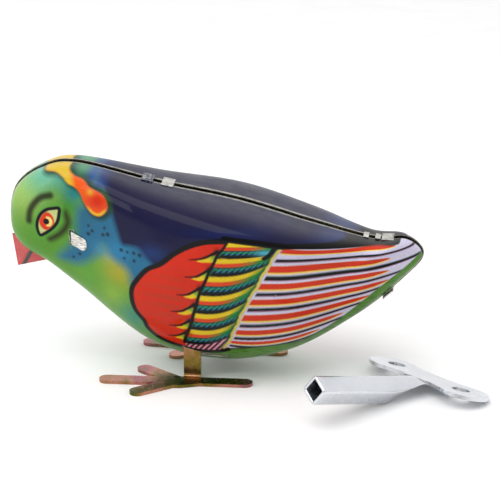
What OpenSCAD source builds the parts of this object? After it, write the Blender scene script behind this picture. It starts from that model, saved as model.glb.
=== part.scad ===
// Wind-up walking bird of printed tinplate, with its winding key beside it.
// Frame: the bird looks along -X, its left side faces -Y, +Z is up, the floor is z = 0.
// Inside bird() x = 0 is the front leg's centre and y = 0 the plane of the body seam.

/* [Placing] */
// bird's place along X
bird_x = -16.13; // [-40:0.01:40]
// bird's place along Y
bird_y = 10.11; // [-40:0.01:40]
// key's turn on the floor
key_yaw = 49.5; // [0:0.5:90]

/* [Tin body] */
// thickness of the tinplate
tin = 0.4; // [0.25:0.05:0.8]
// half of the gap along the seam
seam_gap = 0.6; // [0.1:0.1:1.2]
// how far the right half stands proud of the left at the seam
right_proud = 0.6; // [0:0.1:1.2]
// half width of the body at five stations from head to rump
half_widths = [10.5, 18.5, 24.5, 20.5, 10]; // [5:0.5:30]
// heights of the back line at those stations
back_heights = [69, 63.4, 58.8, 52.4, 47.6]; // [40:0.2:75]
// heights of the belly line at those stations
belly_heights = [27.2, 9.4, 4.6, 9.2, 22]; // [3:0.2:40]
// squareness of the section above and below the widest line
upper_power = [5, 4]; // [1:0.1:6]
lower_power = [2.1, 2.1]; // [1:0.05:6]
// the same for the round end at the head
head_power = [1.8, 2.2]; // [1:0.05:6]
// the same for the pointed end at the tail
tail_power = [1.2, 1.6]; // [1:0.05:6]
// steps between stations of the pressed surface
steps = 4; // [2:1:6]
// rows from the widest line to the seam
rows = 11; // [6:1:16]
// radius of the winding hole in the right half
winding_hole_r = 5.3; // [5:0.1:7]

/* [Beak and lugs] */
// height of the cheek slit and its lug
cheek_lug_h = 4.6; // [3:0.1:6]
// length of the cheek lug that lies on the cheek
cheek_lug_l = 5.4; // [3:0.1:8]
// front lower corner of the cheek slit, in X and Z
cheek_slit = [-41, 44.1]; // [-60:0.1:60]
// width of the cheek slit
cheek_slit_w = 1.5; // [0.8:0.1:2]
// thickness of lugs
lug_t = 0.4; // [0.3:0.05:0.8]

/* [Legs] */
// thickness of the leg stamping
leg_t = 1.1; // [0.8:0.1:1.5]
// width of the leg strip
leg_w = 5.6; // [4:0.1:7]
// width of a toe
toe_w = 5.2; // [4:0.1:7]
// inner face of the leg strip from the seam plane
leg_y = 11.1; // [10.8:0.1:13]
// toe-out angle of each foot
toe_out = 3; // [0:0.5:8]
// half length of the belly slot that the leg strides in
slot_half = 7.3; // [6:0.1:9]
// gap between the leg strip and each side of that slot
slot_side = 0.3; // [0.2:0.05:0.6]

/* [Cranks] */
// throw of the cranks, half of the fore and aft stride
crank_r = 4; // [2:0.1:5]
// crank shaft centre
crank_at = [3, 20]; // [0:1:40]
// height of the upper idle cranks above the crank shaft
idler_up = 14; // [12:0.5:18]
// crank pin radius
pin_r = 1; // [0.8:0.05:1.3]
// running clearance on the radius
run = 0.05; // [0.02:0.01:0.1]

/* [Motor] */
// outer face of each frame plate from the seam plane
plate_y = 9; // [8:0.1:10]
// thickness of the frame plates
plate_t = 0.8; // [0.6:0.1:1.2]
// gear module
gear_m = 0.6; // [0.5:0.05:0.8]
// teeth: great wheel, second wheel, crank wheel, pinions
great_z = 42; // [36:6:48]
second_z = 36; // [24:6:48]
crank_z = 30; // [24:6:36]
pinion_z = 12; // [12:1:14]
// winding arbor centre
arbor_at = [17, 40]; // [0:1:60]
// turns of the mainspring
spring_turns = 6; // [4:1:8]

/* [Key] */
// outside of the square socket
socket_s = 6.9; // [6:0.1:8]
// inside of the square socket
socket_in = 4.9; // [4.5:0.1:5.5]
// straight length of the socket
socket_l = 32.5; // [25:1:40]
// distance from the socket's mouth to the bow's centre
bow_x = 51.8; // [45:0.5:60]
// distance between the two holes of the bow
bow_holes = 28.5; // [24:0.1:32]
// distance between the centres of the bow's round wings
bow_wings = 31.2; // [28:0.1:36]
// radius of those holes
bow_hole_r = 2.9; // [2:0.1:3.5]
// thickness of the bow plate
bow_t = 1.2; // [0.8:0.1:2]

/* [Hidden] */
tinplate = [0.16, 0.2, 0.42];
red_tin = [0.8, 0.16, 0.12];
bare_tin = [0.78, 0.78, 0.76];
zinc_yellow = [0.55, 0.5, 0.24];
steel = [0.62, 0.63, 0.65];
brass = [0.78, 0.62, 0.3];
nickel = [0.8, 0.82, 0.84];

station_back = [-40, -14, 12, 36, 56];
station_belly = [-40, -16, 8, 31, 52];
spine_a = [-42, 55];
spine_b = [50, 41];
tail_line = [[67, 47.8], [72, 43], [67, 35.8]];
head_line = [[-50, 34.8], [-59, 40.4], [-62.6, 48], [-60.6, 59.8], [-52, 66.9]];
back_line = [for (i = [0:4]) [station_back[i], back_heights[i]]];
belly_line = [for (i = [4:-1:0]) [station_belly[i], belly_heights[i]]];
seam_line = concat(back_line, tail_line, belly_line, head_line);
knots = len(seam_line);
cols = knots * steps;

second_gap = gear_m * (great_z + pinion_z) / 2;
second_off = gear_m * (second_z + pinion_z) / 2;
arbor_dx = arbor_at[0] - crank_at[0];
arbor_dz = arbor_at[1] - crank_at[1];
arbor_d = sqrt(pow(arbor_dx, 2) + pow(arbor_dz, 2));
arbor_ang = atan2(arbor_dz, arbor_dx);
second_turn = acos((pow(second_off, 2) + pow(arbor_d, 2) - pow(second_gap, 2)) / (2 * second_off * arbor_d));
second_ang = arbor_ang - second_turn;
second_at = [crank_at[0] + second_off * cos(second_ang), crank_at[1] + second_off * sin(second_ang)];
great_ang = atan2(arbor_at[1] - second_at[1], arbor_at[0] - second_at[0]);
governor_off = gear_m * (crank_z + pinion_z) / 2;
governor_ang = 151;
governor_at = crank_at + governor_off * [cos(governor_ang), sin(governor_ang)];
idler_at = [crank_at[0], crank_at[1] + idler_up];
pillars = [[29, 49], [28.5, 17.5], [-9, 15.5], [-12, 40]];
shaft_r = 1.25;
click_at = [-2.64, 7.55];
plate_in = plate_y - plate_t;
leg_out = leg_y + leg_t;
square_s = socket_in - 0.2;
socket_roll = 11;
corner_r = 1.1;
heel_drop = socket_s / sqrt(2) - corner_r * (sqrt(2) - 1);
plate_z = heel_drop - bow_t / 2;
bow_end_r = 8.2;
bow_far = bow_x + bow_end_r;
key_pitch = atan((2 * heel_drop - bow_t) / (bow_far - socket_l));
key_z = bow_far * sin(key_pitch) - (plate_z - bow_t / 2) * cos(key_pitch);
key_at = [bird_x + 42.4, bird_y - 46];

// shows one piece, or all of them

$fn = 48;

// ---------- shared helpers ----------

function cubic(a, b, c, d, t) =
  0.5 * (2 * b + (c - a) * t + (2 * a - 5 * b + 4 * c - d) * t * t + (3 * b - a - 3 * c + d) * t * t * t);

function clamp(v, lo, hi) = max(lo, min(hi, v));

function seam_at(c) =
  let (k = floor(c / steps), t = c / steps - k)
  cubic(seam_line[(k + knots - 1) % knots], seam_line[k % knots],
    seam_line[(k + 1) % knots], seam_line[(k + 2) % knots], t);

// outward direction of the seam line at column c
function seam_out(c) =
  let (d = seam_at((c + 1) % cols) - seam_at((c + cols - 1) % cols))
  [-d[1], d[0]] / norm(d);

// spine station of a column: 0 at the head, 4 at the rump
function station(c) =
  let (k = c / steps)
  k <= 4 ? k : k <= 8 ? 4 : k <= 12 ? 12 - k : 0;

// 0 along the back and belly, rising to 1 in the middle of the head and tail ends
function end_share(c) =
  let (k = c / steps)
  k > 12 ? sin(30 * (k - 12)) : k > 4 && k < 8 ? sin(45 * (k - 4)) : 0;

function spine_at(g) = spine_a + (spine_b - spine_a) * g / 4;

function width_at(g) =
  let (k = min(3, floor(g)), w = half_widths)
  cubic(w[max(0, k - 1)], w[k], w[k + 1], w[min(4, k + 2)], g - k);

function shell_point(c, r, inset, grow) =
  let (s = spine_at(station(c)),
    q = seam_at(c) + seam_out(c) * (grow - inset),
    up = clamp((q[1] - s[1]) / 6, -1, 1) / 2 + 0.5,
    power = lower_power + (upper_power - lower_power) * up,
    round_power = c < 9 * steps ? tail_power : head_power,
    mixed = power + (round_power - power) * end_share(c),
    n = mixed[0],
    m = mixed[1],
    u = sin(90 * r / rows),
    p = s + (q - s) * u,
    y = (width_at(station(c)) - inset) * pow(max(0, 1 - pow(u, n)), 1 / m))
  [p[0], seam_gap + y, p[1]];

// one pressed half with its dome on the +Y side
module pressed_half(grow) {
  spine_n = 4 * steps + 1;
  layer = spine_n + rows * cols;
  spine_pts = [for (g = [0:spine_n - 1]) g / steps];
  points = [for (inset = [0, tin]) each concat(
    [for (g = spine_pts) let (s = spine_at(g)) [s[0], seam_gap + width_at(g) - inset, s[1]]],
    [for (r = [1:rows], c = [0:cols - 1]) shell_point(c, r, inset, grow)])];
  faces = [for (l = [0, 1]) each concat(
    [for (c = [0:cols - 1]) let (
      a = l * layer + round(station(c) * steps),
      b = l * layer + round(station((c + 1) % cols) * steps),
      p = l * layer + spine_n + c,
      q = l * layer + spine_n + (c + 1) % cols)
      each (l == 0
        ? (a == b ? [[a, q, p]] : [[a, q, p], [a, b, q]])
        : (a == b ? [[a, p, q]] : [[a, p, q], [a, q, b]]))],
    [for (r = [0:rows - 2], c = [0:cols - 1]) let (
      d = (c + 1) % cols,
      a = l * layer + spine_n + r * cols,
      b = a + cols)
      each (l == 0
        ? [[a + c, a + d, b + d], [a + c, b + d, b + c]]
        : [[a + c, b + d, a + d], [a + c, b + c, b + d]])])];
  rim = [for (c = [0:cols - 1]) let (
    d = (c + 1) % cols,
    a = spine_n + (rows - 1) * cols,
    b = a + layer)
    each [[a + c, a + d, b + d], [a + c, b + d, b + c]]];
  polyhedron(points = points, faces = concat(faces, rim), convexity = 8);
}

module bird() {
  translate([bird_x, bird_y, 0])
    children();
}

module along_y(at, y0, y1) {
  translate([at[0], y1, at[1]])
    rotate([90, 0, 0])
      linear_extrude(y1 - y0)
        children();
}

module rod(at, y0, y1, r) {
  translate([at[0], y0, at[1]])
    rotate([-90, 0, 0])
      cylinder(r = r, h = y1 - y0);
}

function involute(rb, a) = rb * [cos(a) + a * PI / 180 * sin(a), sin(a) - a * PI / 180 * cos(a)];

function turned(p, a) = [p[0] * cos(a) - p[1] * sin(a), p[0] * sin(a) + p[1] * cos(a)];

// spur gear outline, with one tooth centred on +X before the turn
module gear_2d(z, turn) {
  press = 25;
  slack = 0.05 / gear_m;
  rp = gear_m * z / 2;
  rb = rp * cos(press);
  ro = rp + 0.85 * gear_m;
  rf = rp - 1.15 * gear_m;
  flank_end = sqrt(pow(ro / rb, 2) - 1) * 180 / PI;
  half = 90 / z - slack * 180 / (PI * z) + (tan(press) * 180 / PI - press);
  rise = [for (i = [0:4]) turned(involute(rb, flank_end * i / 4), -half)];
  base = rf < rb ? [turned([rf, 0], -half)] : [];
  side = concat(base, rise);
  tooth = concat(side, [for (i = [len(side) - 1:-1:0]) [side[i][0], -side[i][1]]]);
  polygon([for (k = [0:z - 1], p = tooth) turned(p, turn + 360 * k / z)]);
}

module bored(r) {
  difference() {
    children();
    circle(r = r);
  }
}

// ---------- tin body ----------

// half of the body on the +Y side, with the slits and slots both halves share
module shell_half(grow) {
  difference() {
    pressed_half(grow);
    translate([crank_at[0] - slot_half, leg_y - slot_side, 0])
      cube([2 * slot_half, leg_t + 2 * slot_side, 19]);
    translate([cheek_slit[0], 6, cheek_slit[1]])
      cube([cheek_slit_w, 12, cheek_lug_h + 0.6]);
  }
}

module left_shell() {
  color(tinplate)
    bird()
      mirror([0, 1, 0])
        shell_half(0);
}

module right_shell() {
  color(tinplate)
    bird()
      difference() {
        shell_half(right_proud);
        rod(arbor_at, 14, 30, winding_hole_r);
      }
}

// folded beak with a tang on each side that comes out through the cheek slit and lies back
module beak() {
  top = [-62.9, 43.6];
  tip = [-61.2, 32.6];
  rear = [-51.4, 34.9];
  mid = [-55.7, 41.2];
  w = 4.6;
  color(red_tin)
    bird()
      polyhedron(
        points = [[top[0], 0, top[1]], [tip[0], -0.5, tip[1]], [tip[0], 0.5, tip[1]], [rear[0], 0, rear[1]],
          [mid[0], -w, mid[1]], [mid[0], w, mid[1]]],
        faces = [[0, 4, 1], [1, 4, 3], [0, 2, 5], [2, 3, 5], [0, 1, 2], [1, 3, 2], [0, 3, 4], [0, 5, 3]]);
  color(bare_tin)
    bird()
      for (side = [-1, 1])
        mirror([0, side < 0 ? 1 : 0, 0])
          beak_tang();
}

// flat tang on the +Y side: inside strip, then the lug on the cheek
module beak_tang() {
  inner = [-57.6, 3.4];
  slit = [-40, 10.2];
  run_a = atan2(slit[1] - inner[1], slit[0] - inner[0]);
  run_l = norm(slit - inner);
  translate([inner[0], inner[1], 44.5])
    rotate([0, 0, run_a])
      cube([run_l, lug_t, cheek_lug_h - 1.6]);
  translate([inner[0] - 0.2, 2.3, 40])
    cube([0.8, 1.5, 7.1]);
  translate([slit[0] - 0.2, 9.9, 44.5])
    cube([lug_t, 1.3, cheek_lug_h]);
  translate([slit[0] - 0.1, 10.9, 44.5])
    rotate([-6.5, 0, 14])
      cheek_lug_plate();
}

// lug in side view: upright along the slit, then drooping to a blunt round end
module cheek_lug_plate() {
  h = cheek_lug_h;
  l = cheek_lug_l;
  translate([0, lug_t, 0])
    rotate([90, 0, 0])
      linear_extrude(lug_t)
        polygon([[0, 0], [0, h], [l * 0.8, h * 0.58], [l * 0.95, h * 0.43], [l, h * 0.2],
          [l * 0.97, -h * 0.08], [l * 0.87, -h * 0.3], [l * 0.7, -h * 0.4]]);
}

// small strap over the back seam; it slopes with the back line and leans on the proud half
module seam_strap(at, slope, l, w) {
  translate([at[0], 0, at[1] + right_proud / 2])
    rotate([atan(right_proud / 3.4), slope, 0])
      translate([-l / 2, -w / 2, 0])
        cube([l, w, lug_t]);
}

module nape_lug() {
  color(tinplate)
    bird()
      seam_strap([-17, 64.15], 12, 3.8, 5);
}

module back_lug() {
  color(bare_tin)
    bird()
      seam_strap([-10.4, 62.75], 11, 3.9, 5.4);
}

module rump_lug() {
  color(bare_tin)
    bird()
      for (q = [[54, 47.85], [57.8, 47.5]])
        seam_strap(q, 6, 1.7, 3.4);
}

module tail_lug() {
  color(bare_tin)
    bird()
      seam_strap([61, 47.45], 0, 3.8, 4.6);
}

module belly_lug() {
  color(bare_tin)
    bird()
      translate([61.4, 0, 29.2])
        rotate([0, -43, 0])
          translate([-2.2, -2.4, -lug_t])
            cube([4.4, 4.8, lug_t]);
}

// ---------- motor frame ----------

module plate_2d() {
  difference() {
    polygon([[-15, 30], [-11.5, 14.5], [-8, 12.8], [29.5, 16], [31.5, 19], [31.5, 49.5],
      [29, 51.6], [10, 51.6], [-14, 43]]);
    for (p = [crank_at, second_at, governor_at, idler_at])
      translate(p)
        circle(r = shaft_r + run);
    translate(arbor_at)
      circle(r = 1.9 + run);
  }
}

module frame_left() {
  color(steel)
    bird()
      along_y([0, 0], -plate_y, -plate_in)
        plate_2d();
}

module frame_right() {
  color(steel)
    bird()
      along_y([0, 0], plate_in, plate_y)
        plate_2d();
}

module frame_pillars() {
  color(steel)
    bird()
      for (p = pillars)
        rod(p, -plate_in, plate_in, 1.2);
}

module brackets() {
  rod([26, 34], plate_y, 20.6, 1.4);
  rod([-9, 42], plate_y, 21.3, 1.4);
}

module bracket_left() {
  color(steel)
    bird()
      mirror([0, 1, 0])
        brackets();
}

module bracket_right() {
  color(steel)
    bird()
      brackets();
}

// ---------- spring motor ----------

module winding_arbor() {
  color(steel)
    bird()
      union() {
        rod(arbor_at, -plate_y - 0.4, 12, 1.9);
        translate([arbor_at[0] - square_s / 2, 11.5, arbor_at[1] - square_s / 2])
          cube([square_s, 9.6, square_s]);
      }
}

module ratchet_wheel() {
  teeth = 12;
  color(steel)
    bird()
      along_y(arbor_at, -0.5, 0.7)
        bored(1.9)
          polygon([for (k = [0:teeth - 1], q = [0, 1])
            turned([q == 0 ? 5.6 : 4.4, 0], 30 * k + 28 * q)]);
}

// coil of thin strip from the arbor to a frame pillar
module mainspring() {
  inner = 2.2;
  pitch = 1.45;
  t = 0.3;
  n = spring_turns * 24;
  hook = atan2(pillars[0][1] - arbor_at[1], pillars[0][0] - arbor_at[0]);
  reach = norm(pillars[0] - arbor_at) - 1.25;
  outer = inner + pitch * spring_turns;
  inside = [for (i = [0:n]) turned([inner + pitch * i / 24, 0], hook + 15 * i)];
  outside = [for (i = [n - 1:-1:0]) turned([inner + t + pitch * i / 24, 0], hook + 15 * i)];
  end = [[reach, 0], [reach, -t], [outer + t, -t]];
  color(steel)
    bird()
      along_y(arbor_at, -7.2, -2.9)
        polygon(concat(inside, [for (q = end) turned(q, hook)], outside));
}

module great_wheel() {
  color(brass)
    bird()
      union() {
        along_y(arbor_at, -2.1, -0.9)
          difference() {
            gear_2d(great_z, great_ang + 180);
            circle(r = 1.9 + run);
            for (a = [20:60:320])
              rotate(a)
                translate([8, 0])
                  circle(r = 1.9);
          }
        along_y(arbor_at, -0.95, -0.6)
          bored(1.9 + run)
            circle(r = 3);
        rod(arbor_at + click_at, -1.5, 1, 0.7);
      }
}

// pawl whose tip stands in the ratchet's notch
module click() {
  color(steel)
    bird()
      along_y(arbor_at, -0.6, 0.8)
        difference() {
          union() {
            translate(click_at)
              circle(r = 1.5);
            polygon([[-3.83, 2.46], [-3.12, 5.2], [-2.2, 6.4], [-3.6, 8], [-4.3, 6.5], [-4.55, 3.1]]);
          }
          translate(click_at)
            circle(r = 0.7 + run);
        }
}

module second_arbor() {
  color(steel)
    bird()
      union() {
        rod(second_at, -plate_y - 0.3, plate_y + 0.3 - 0.2, shaft_r);
        along_y(second_at, -2.5, -0.5)
          gear_2d(pinion_z, great_ang + 180 / pinion_z);
      }
}

module second_wheel() {
  color(brass)
    bird()
      along_y(second_at, 2, 3.2)
        bored(shaft_r)
          gear_2d(second_z, second_ang + 180);
}

module crank_shaft() {
  color(steel)
    bird()
      union() {
        rod(crank_at, -10.45, 10.45, shaft_r);
        along_y(crank_at, 1.6, 3.6)
          gear_2d(pinion_z, second_ang + 180 / pinion_z);
      }
}

module crank_wheel() {
  color(brass)
    bird()
      along_y(crank_at, 4.6, 5.8)
        bored(shaft_r)
          gear_2d(crank_z, governor_ang);
}

module governor_arbor() {
  color(steel)
    bird()
      union() {
        rod(governor_at, -plate_y - 0.1, plate_y + 0.1, shaft_r);
        along_y(governor_at, 4.2, 6.2)
          gear_2d(pinion_z, governor_ang + 180 + 180 / pinion_z);
      }
}

module flywheel() {
  color(brass)
    bird()
      along_y(governor_at, -6, -3.2)
        difference() {
          circle(r = 6.4);
          circle(r = shaft_r);
        }
}

// ---------- cranks and legs ----------

// crank disc with its pin; way is -1 for a pin towards the head, +1 towards the tail
module crank_disc(at, way, hole) {
  union() {
    along_y(at, plate_y + 0.25, 10.45)
      difference() {
        circle(r = 5.6);
        if (hole)
          circle(r = shaft_r);
      }
    rod([at[0] + way * crank_r, at[1]], 10.4, 13.5, pin_r);
  }
}

module crank_disc_left() {
  color(steel)
    bird()
      mirror([0, 1, 0])
        crank_disc(crank_at, -1, true);
}

module crank_disc_right() {
  color(steel)
    bird()
      crank_disc(crank_at, 1, true);
}

// idle crank with a stub that runs in the frame plate
module idler(way) {
  union() {
    crank_disc(idler_at, way, false);
    rod(idler_at, plate_in - 0.3, plate_y + 0.3, shaft_r);
  }
}

module idler_left() {
  color(steel)
    bird()
      mirror([0, 1, 0])
        idler(-1);
}

module idler_right() {
  color(steel)
    bird()
      idler(1);
}

module toe(at, a, l) {
  translate(at)
    rotate(a)
      union() {
        translate([0, -toe_w / 2])
          square([l, toe_w]);
        translate([l, 0])
          circle(r = toe_w / 2);
      }
}

// foot in plan, with the leg strip's centre at x = 0 and the foot on the +Y side of it
module foot_2d() {
  base = leg_out + 3.4;
  translate([0, base])
    rotate(-toe_out)
      translate([0, -base])
        union() {
          toe([0, base + 0.1], 180, 27.4);
          toe([-4, base], 180 - 38, 15.4);
          toe([-4, base], 180 + 38, 15.4);
          toe([0, base - 0.3], 0, 17.6);
          polygon([[-9.6, base], [-6.4, base + 4.4], [-3, base + 4.3], [3.4, base + 2.2], [3.4, leg_out + 0.5],
            [-3.4, leg_out + 0.3], [-6.4, base - 4.4]]);
        }
}

// leg and foot, one stamping on the +Y side, with the strip's centre at x
module leg(x) {
  bend = 1;
  top = crank_at[1] + idler_up;
  translate([x, 0, 0])
    difference() {
      union() {
        linear_extrude(leg_t)
          difference() {
            foot_2d();
            translate([-leg_w / 2 - 0.1, 0])
              square([leg_w + 0.2, leg_out + bend]);
          }
        translate([-leg_w / 2, leg_out + bend, leg_t + bend])
          rotate([90, 0, 90])
            linear_extrude(leg_w)
              difference() {
                circle(r = bend + leg_t);
                circle(r = bend);
                translate([0, -5])
                  square([5, 10]);
                translate([-5, 0])
                  square([10, 5]);
              }
        translate([-leg_w / 2, leg_y, leg_t + bend])
          cube([leg_w, leg_t, top - leg_t - bend]);
        rod([0, top], leg_y, leg_out, leg_w / 2);
      }
      for (z = [crank_at[1], top])
        rod([0, z], leg_y - 1, leg_out + 1, pin_r + run);
    }
}

module left_leg() {
  color(zinc_yellow)
    bird()
      mirror([0, 1, 0])
        leg(crank_at[0] - crank_r);
}

module right_leg() {
  color(zinc_yellow)
    bird()
      leg(crank_at[0] + crank_r);
}

// cap pressed on a crank pin on the +Y side
module pin_cap(x, z) {
  color(steel)
    along_y([x, z], leg_out + 0.15, 13.2)
      difference() {
        circle(r = 1.9);
        circle(r = pin_r);
      }
}

module crank_cap_left() {
  bird()
    mirror([0, 1, 0])
      pin_cap(crank_at[0] - crank_r, crank_at[1]);
}

module crank_cap_right() {
  bird()
    pin_cap(crank_at[0] + crank_r, crank_at[1]);
}

module idler_cap_left() {
  bird()
    mirror([0, 1, 0])
      pin_cap(crank_at[0] - crank_r, idler_at[1]);
}

module idler_cap_right() {
  bird()
    pin_cap(crank_at[0] + crank_r, idler_at[1]);
}

// ---------- key ----------

module key_pose() {
  translate([key_at[0], key_at[1], key_z])
    rotate([0, key_pitch, key_yaw])
      children();
}

module rounded_square(s, r) {
  union() {
    square([s - 2 * r, s], center = true);
    square([s, s - 2 * r], center = true);
    for (x = [-1, 1], y = [-1, 1])
      translate([x * (s / 2 - r), y * (s / 2 - r)])
        circle(r = r);
  }
}

// slice of the pinched end; keep is the share of the height that is left
module socket_slice(x, keep) {
  translate([x, 0, heel_drop * (1 - keep)])
    scale([1, 1 + 0.3 * (1 - keep), keep])
      rotate([45 - socket_roll * keep, 0, 0])
        rotate([90, 0, 90])
          linear_extrude(0.2)
            rounded_square(socket_s, corner_r, $fn = 12);
}

// square tube whose rear end is pinched flat into the bow
module key_socket() {
  pinch = [[0, 1], [3.5, 0.84], [7, 0.56], [10, 0.3], [12.5, bow_t / heel_drop / 2]];
  color(nickel)
    key_pose()
      union() {
        rotate([45 - socket_roll, 0, 0])
          rotate([90, 0, 90])
            difference() {
              linear_extrude(socket_l)
                rounded_square(socket_s, corner_r, $fn = 12);
              translate([0, 0, -1])
                linear_extrude(socket_l - 3)
                  square([socket_in, socket_in], center = true);
            }
        for (i = [0:3])
          hull() {
            socket_slice(socket_l + pinch[i][0], pinch[i][1]);
            socket_slice(socket_l + pinch[i + 1][0], pinch[i + 1][1]);
          }
      }
}

module bow_2d() {
  difference() {
    union() {
      for (s = [-1, 1])
        translate([0, s * bow_wings / 2])
          circle(r = bow_end_r);
      difference() {
        translate([-7.4, -11.4])
          square([14.8, 22.8]);
        for (s = [-1, 1])
          translate([s * 45.6, 0])
            circle(r = 40, $fn = 128);
      }
      translate([socket_l + 12.6 - bow_x, -4.8])
        square([bow_x - socket_l - 12.6, 9.6]);
    }
    for (s = [-1, 1])
      translate([0, s * bow_holes / 2])
        circle(r = bow_hole_r);
  }
}

module key_bow() {
  color(nickel)
    key_pose()
      translate([bow_x, 0, plate_z - bow_t / 2])
        linear_extrude(bow_t)
          bow_2d();
}

left_shell();
right_shell();
beak();
nape_lug();
back_lug();
rump_lug();
tail_lug();
belly_lug();
frame_left();
frame_right();
frame_pillars();
bracket_left();
bracket_right();
winding_arbor();
ratchet_wheel();
mainspring();
great_wheel();
click();
second_arbor();
second_wheel();
crank_shaft();
crank_wheel();
crank_disc_left();
crank_disc_right();
governor_arbor();
flywheel();
idler_left();
idler_right();
left_leg();
right_leg();
crank_cap_left();
crank_cap_right();
idler_cap_left();
idler_cap_right();
key_socket();
key_bow();
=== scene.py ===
"""Wind-up walking bird of printed tinplate, with its winding key beside it."""

import math

import bpy
import numpy as np
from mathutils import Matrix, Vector


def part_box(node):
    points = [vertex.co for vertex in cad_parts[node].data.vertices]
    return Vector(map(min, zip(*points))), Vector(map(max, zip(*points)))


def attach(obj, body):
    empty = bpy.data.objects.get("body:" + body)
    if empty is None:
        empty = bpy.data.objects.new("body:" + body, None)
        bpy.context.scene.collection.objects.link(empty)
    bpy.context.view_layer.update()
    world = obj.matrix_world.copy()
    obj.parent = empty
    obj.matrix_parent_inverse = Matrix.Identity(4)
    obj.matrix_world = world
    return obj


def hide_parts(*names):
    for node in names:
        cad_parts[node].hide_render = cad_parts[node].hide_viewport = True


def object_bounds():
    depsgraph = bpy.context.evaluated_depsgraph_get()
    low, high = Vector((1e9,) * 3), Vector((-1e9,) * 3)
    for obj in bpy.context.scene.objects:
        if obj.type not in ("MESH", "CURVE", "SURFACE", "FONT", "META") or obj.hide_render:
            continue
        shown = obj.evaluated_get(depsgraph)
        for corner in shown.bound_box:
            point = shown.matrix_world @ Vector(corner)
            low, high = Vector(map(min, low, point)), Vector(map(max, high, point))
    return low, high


MM = 0.001

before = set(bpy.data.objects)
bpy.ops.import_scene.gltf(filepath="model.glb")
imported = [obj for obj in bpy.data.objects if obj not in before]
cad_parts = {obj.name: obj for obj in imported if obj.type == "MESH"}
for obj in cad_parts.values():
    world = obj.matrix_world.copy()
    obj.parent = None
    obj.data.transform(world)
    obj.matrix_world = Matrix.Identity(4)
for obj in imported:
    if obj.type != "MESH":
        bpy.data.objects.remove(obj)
cad_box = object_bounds()


def middle(node):
    """Centre of a CAD node's box."""
    low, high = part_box(node)
    return (np.array(low) + np.array(high)) / 2


# The bird is drawn in millimetres, with x = 0 near the front leg and y = 0 on the seam.
# SHIFT is where that origin lies in the frame, in metres.
ARBOR = (17, 40)
SHIFT = np.array([
    middle("winding_arbor")[0] - ARBOR[0] * MM,
    (middle("left_leg")[1] + middle("right_leg")[1]) / 2,
    0,
])

# ---------- pressed body ----------

BACK = [(-40, 69), (-14, 63.4), (12, 58.8), (36, 52.4), (56, 47.6)]
TAIL = [(67, 47.8), (72, 43), (67, 35.8)]
BELLY = [(52, 22), (31, 9.2), (8, 4.6), (-16, 9.4), (-40, 27.2)]
HEAD = [(-50, 34.8), (-59, 40.4), (-62.6, 48), (-60.6, 59.8), (-52, 66.9)]
SEAM = np.array(BACK + TAIL + BELLY + HEAD, float)
WIDTHS = np.array([10.5, 10.5, 18.5, 24.5, 20.5, 10, 10])
SPINE_A, SPINE_B = np.array([-42, 55]), np.array([50, 41])
UPPER, LOWER = np.array([5, 4]), np.array([2.1, 2.1])
TAIL_POWER, HEAD_POWER = np.array([1.2, 1.6]), np.array([1.8, 2.2])
TIN = 0.4
SEAM_GAP = 0.6
RIGHT_PROUD = 0.6
CHEEK_SLIT = (-41, 6, 44.1), (-39.5, 18, 49.3)
LEG_SLOT = (-4.3, 10.8, -2), (10.3, 12.5, 19)
WINDING_HOLE_R = 5.3
COLUMN_STEPS = [96] * 4 + [48] * 4 + [96] * 4 + [30] * 6
ROWS_OUT, ROWS_IN = 150, 30
SKIP = 3
SHARP = math.radians(50)


def spline(a, b, c, d, t):
    """Point of a smooth line between b and c, with a before them and d after."""
    return 0.5 * (2 * b + (c - a) * t + (2 * a - 5 * b + 4 * c - d) * t**2 + (3 * b - a - 3 * c + d) * t**3)


def seam_at(k):
    """Point of the seam at column k, in x and z."""
    i = np.floor(k).astype(int)
    n = len(SEAM)
    return spline(SEAM[(i - 1) % n], SEAM[i % n], SEAM[(i + 1) % n], SEAM[(i + 2) % n], (k - i)[:, None])


def seam_out(k):
    """Direction away from the body at column k."""
    d = seam_at((k + 0.25) % 18) - seam_at((k - 0.25) % 18)
    return np.stack([-d[:, 1], d[:, 0]], 1) / np.linalg.norm(d, axis=1)[:, None]


def half_width(g):
    """Half of the body's width at station g, counted from the head."""
    i = np.minimum(3, np.floor(g).astype(int))
    return spline(WIDTHS[i], WIDTHS[i + 1], WIDTHS[i + 2], WIDTHS[i + 3], g - i)


def columns():
    """Column values along the seam, about a quarter of a millimetre apart."""
    return np.concatenate([i + np.arange(n) / n for i, n in enumerate(COLUMN_STEPS)])


def half_surface(k, u, inset, grow):
    """Points of one pressed half, as rows from the spine to the seam; u runs from 0 to 1."""
    g = np.where(k <= 4, k, np.where(k <= 8, 4, np.where(k <= 12, 12 - k, 0)))
    spine = SPINE_A + (SPINE_B - SPINE_A) * g[:, None] / 4
    edge = seam_at(k) + seam_out(k) * (grow - inset)
    up = (np.clip((edge[:, 1] - spine[:, 1]) / 6, -1, 1) / 2 + 0.5)[:, None]
    head = np.sin(np.radians(30 * np.clip(k - 12, 0, 6)))
    tail = np.sin(np.radians(45 * np.clip(k - 4, 0, 4)))
    power = LOWER + (UPPER - LOWER) * up
    ends = np.where(k[:, None] < 9, TAIL_POWER, HEAD_POWER)
    power = power + (ends - power) * (head + tail)[:, None]
    x = spine[:, 0] + (edge[:, 0] - spine[:, 0]) * u
    z = spine[:, 1] + (edge[:, 1] - spine[:, 1]) * u
    bulge = np.maximum(0, 1 - u ** power[:, 0]) ** (1 / power[:, 1])
    y = SEAM_GAP + (half_width(g) - inset) * bulge
    return np.stack([x, y, z], 2)


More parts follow.
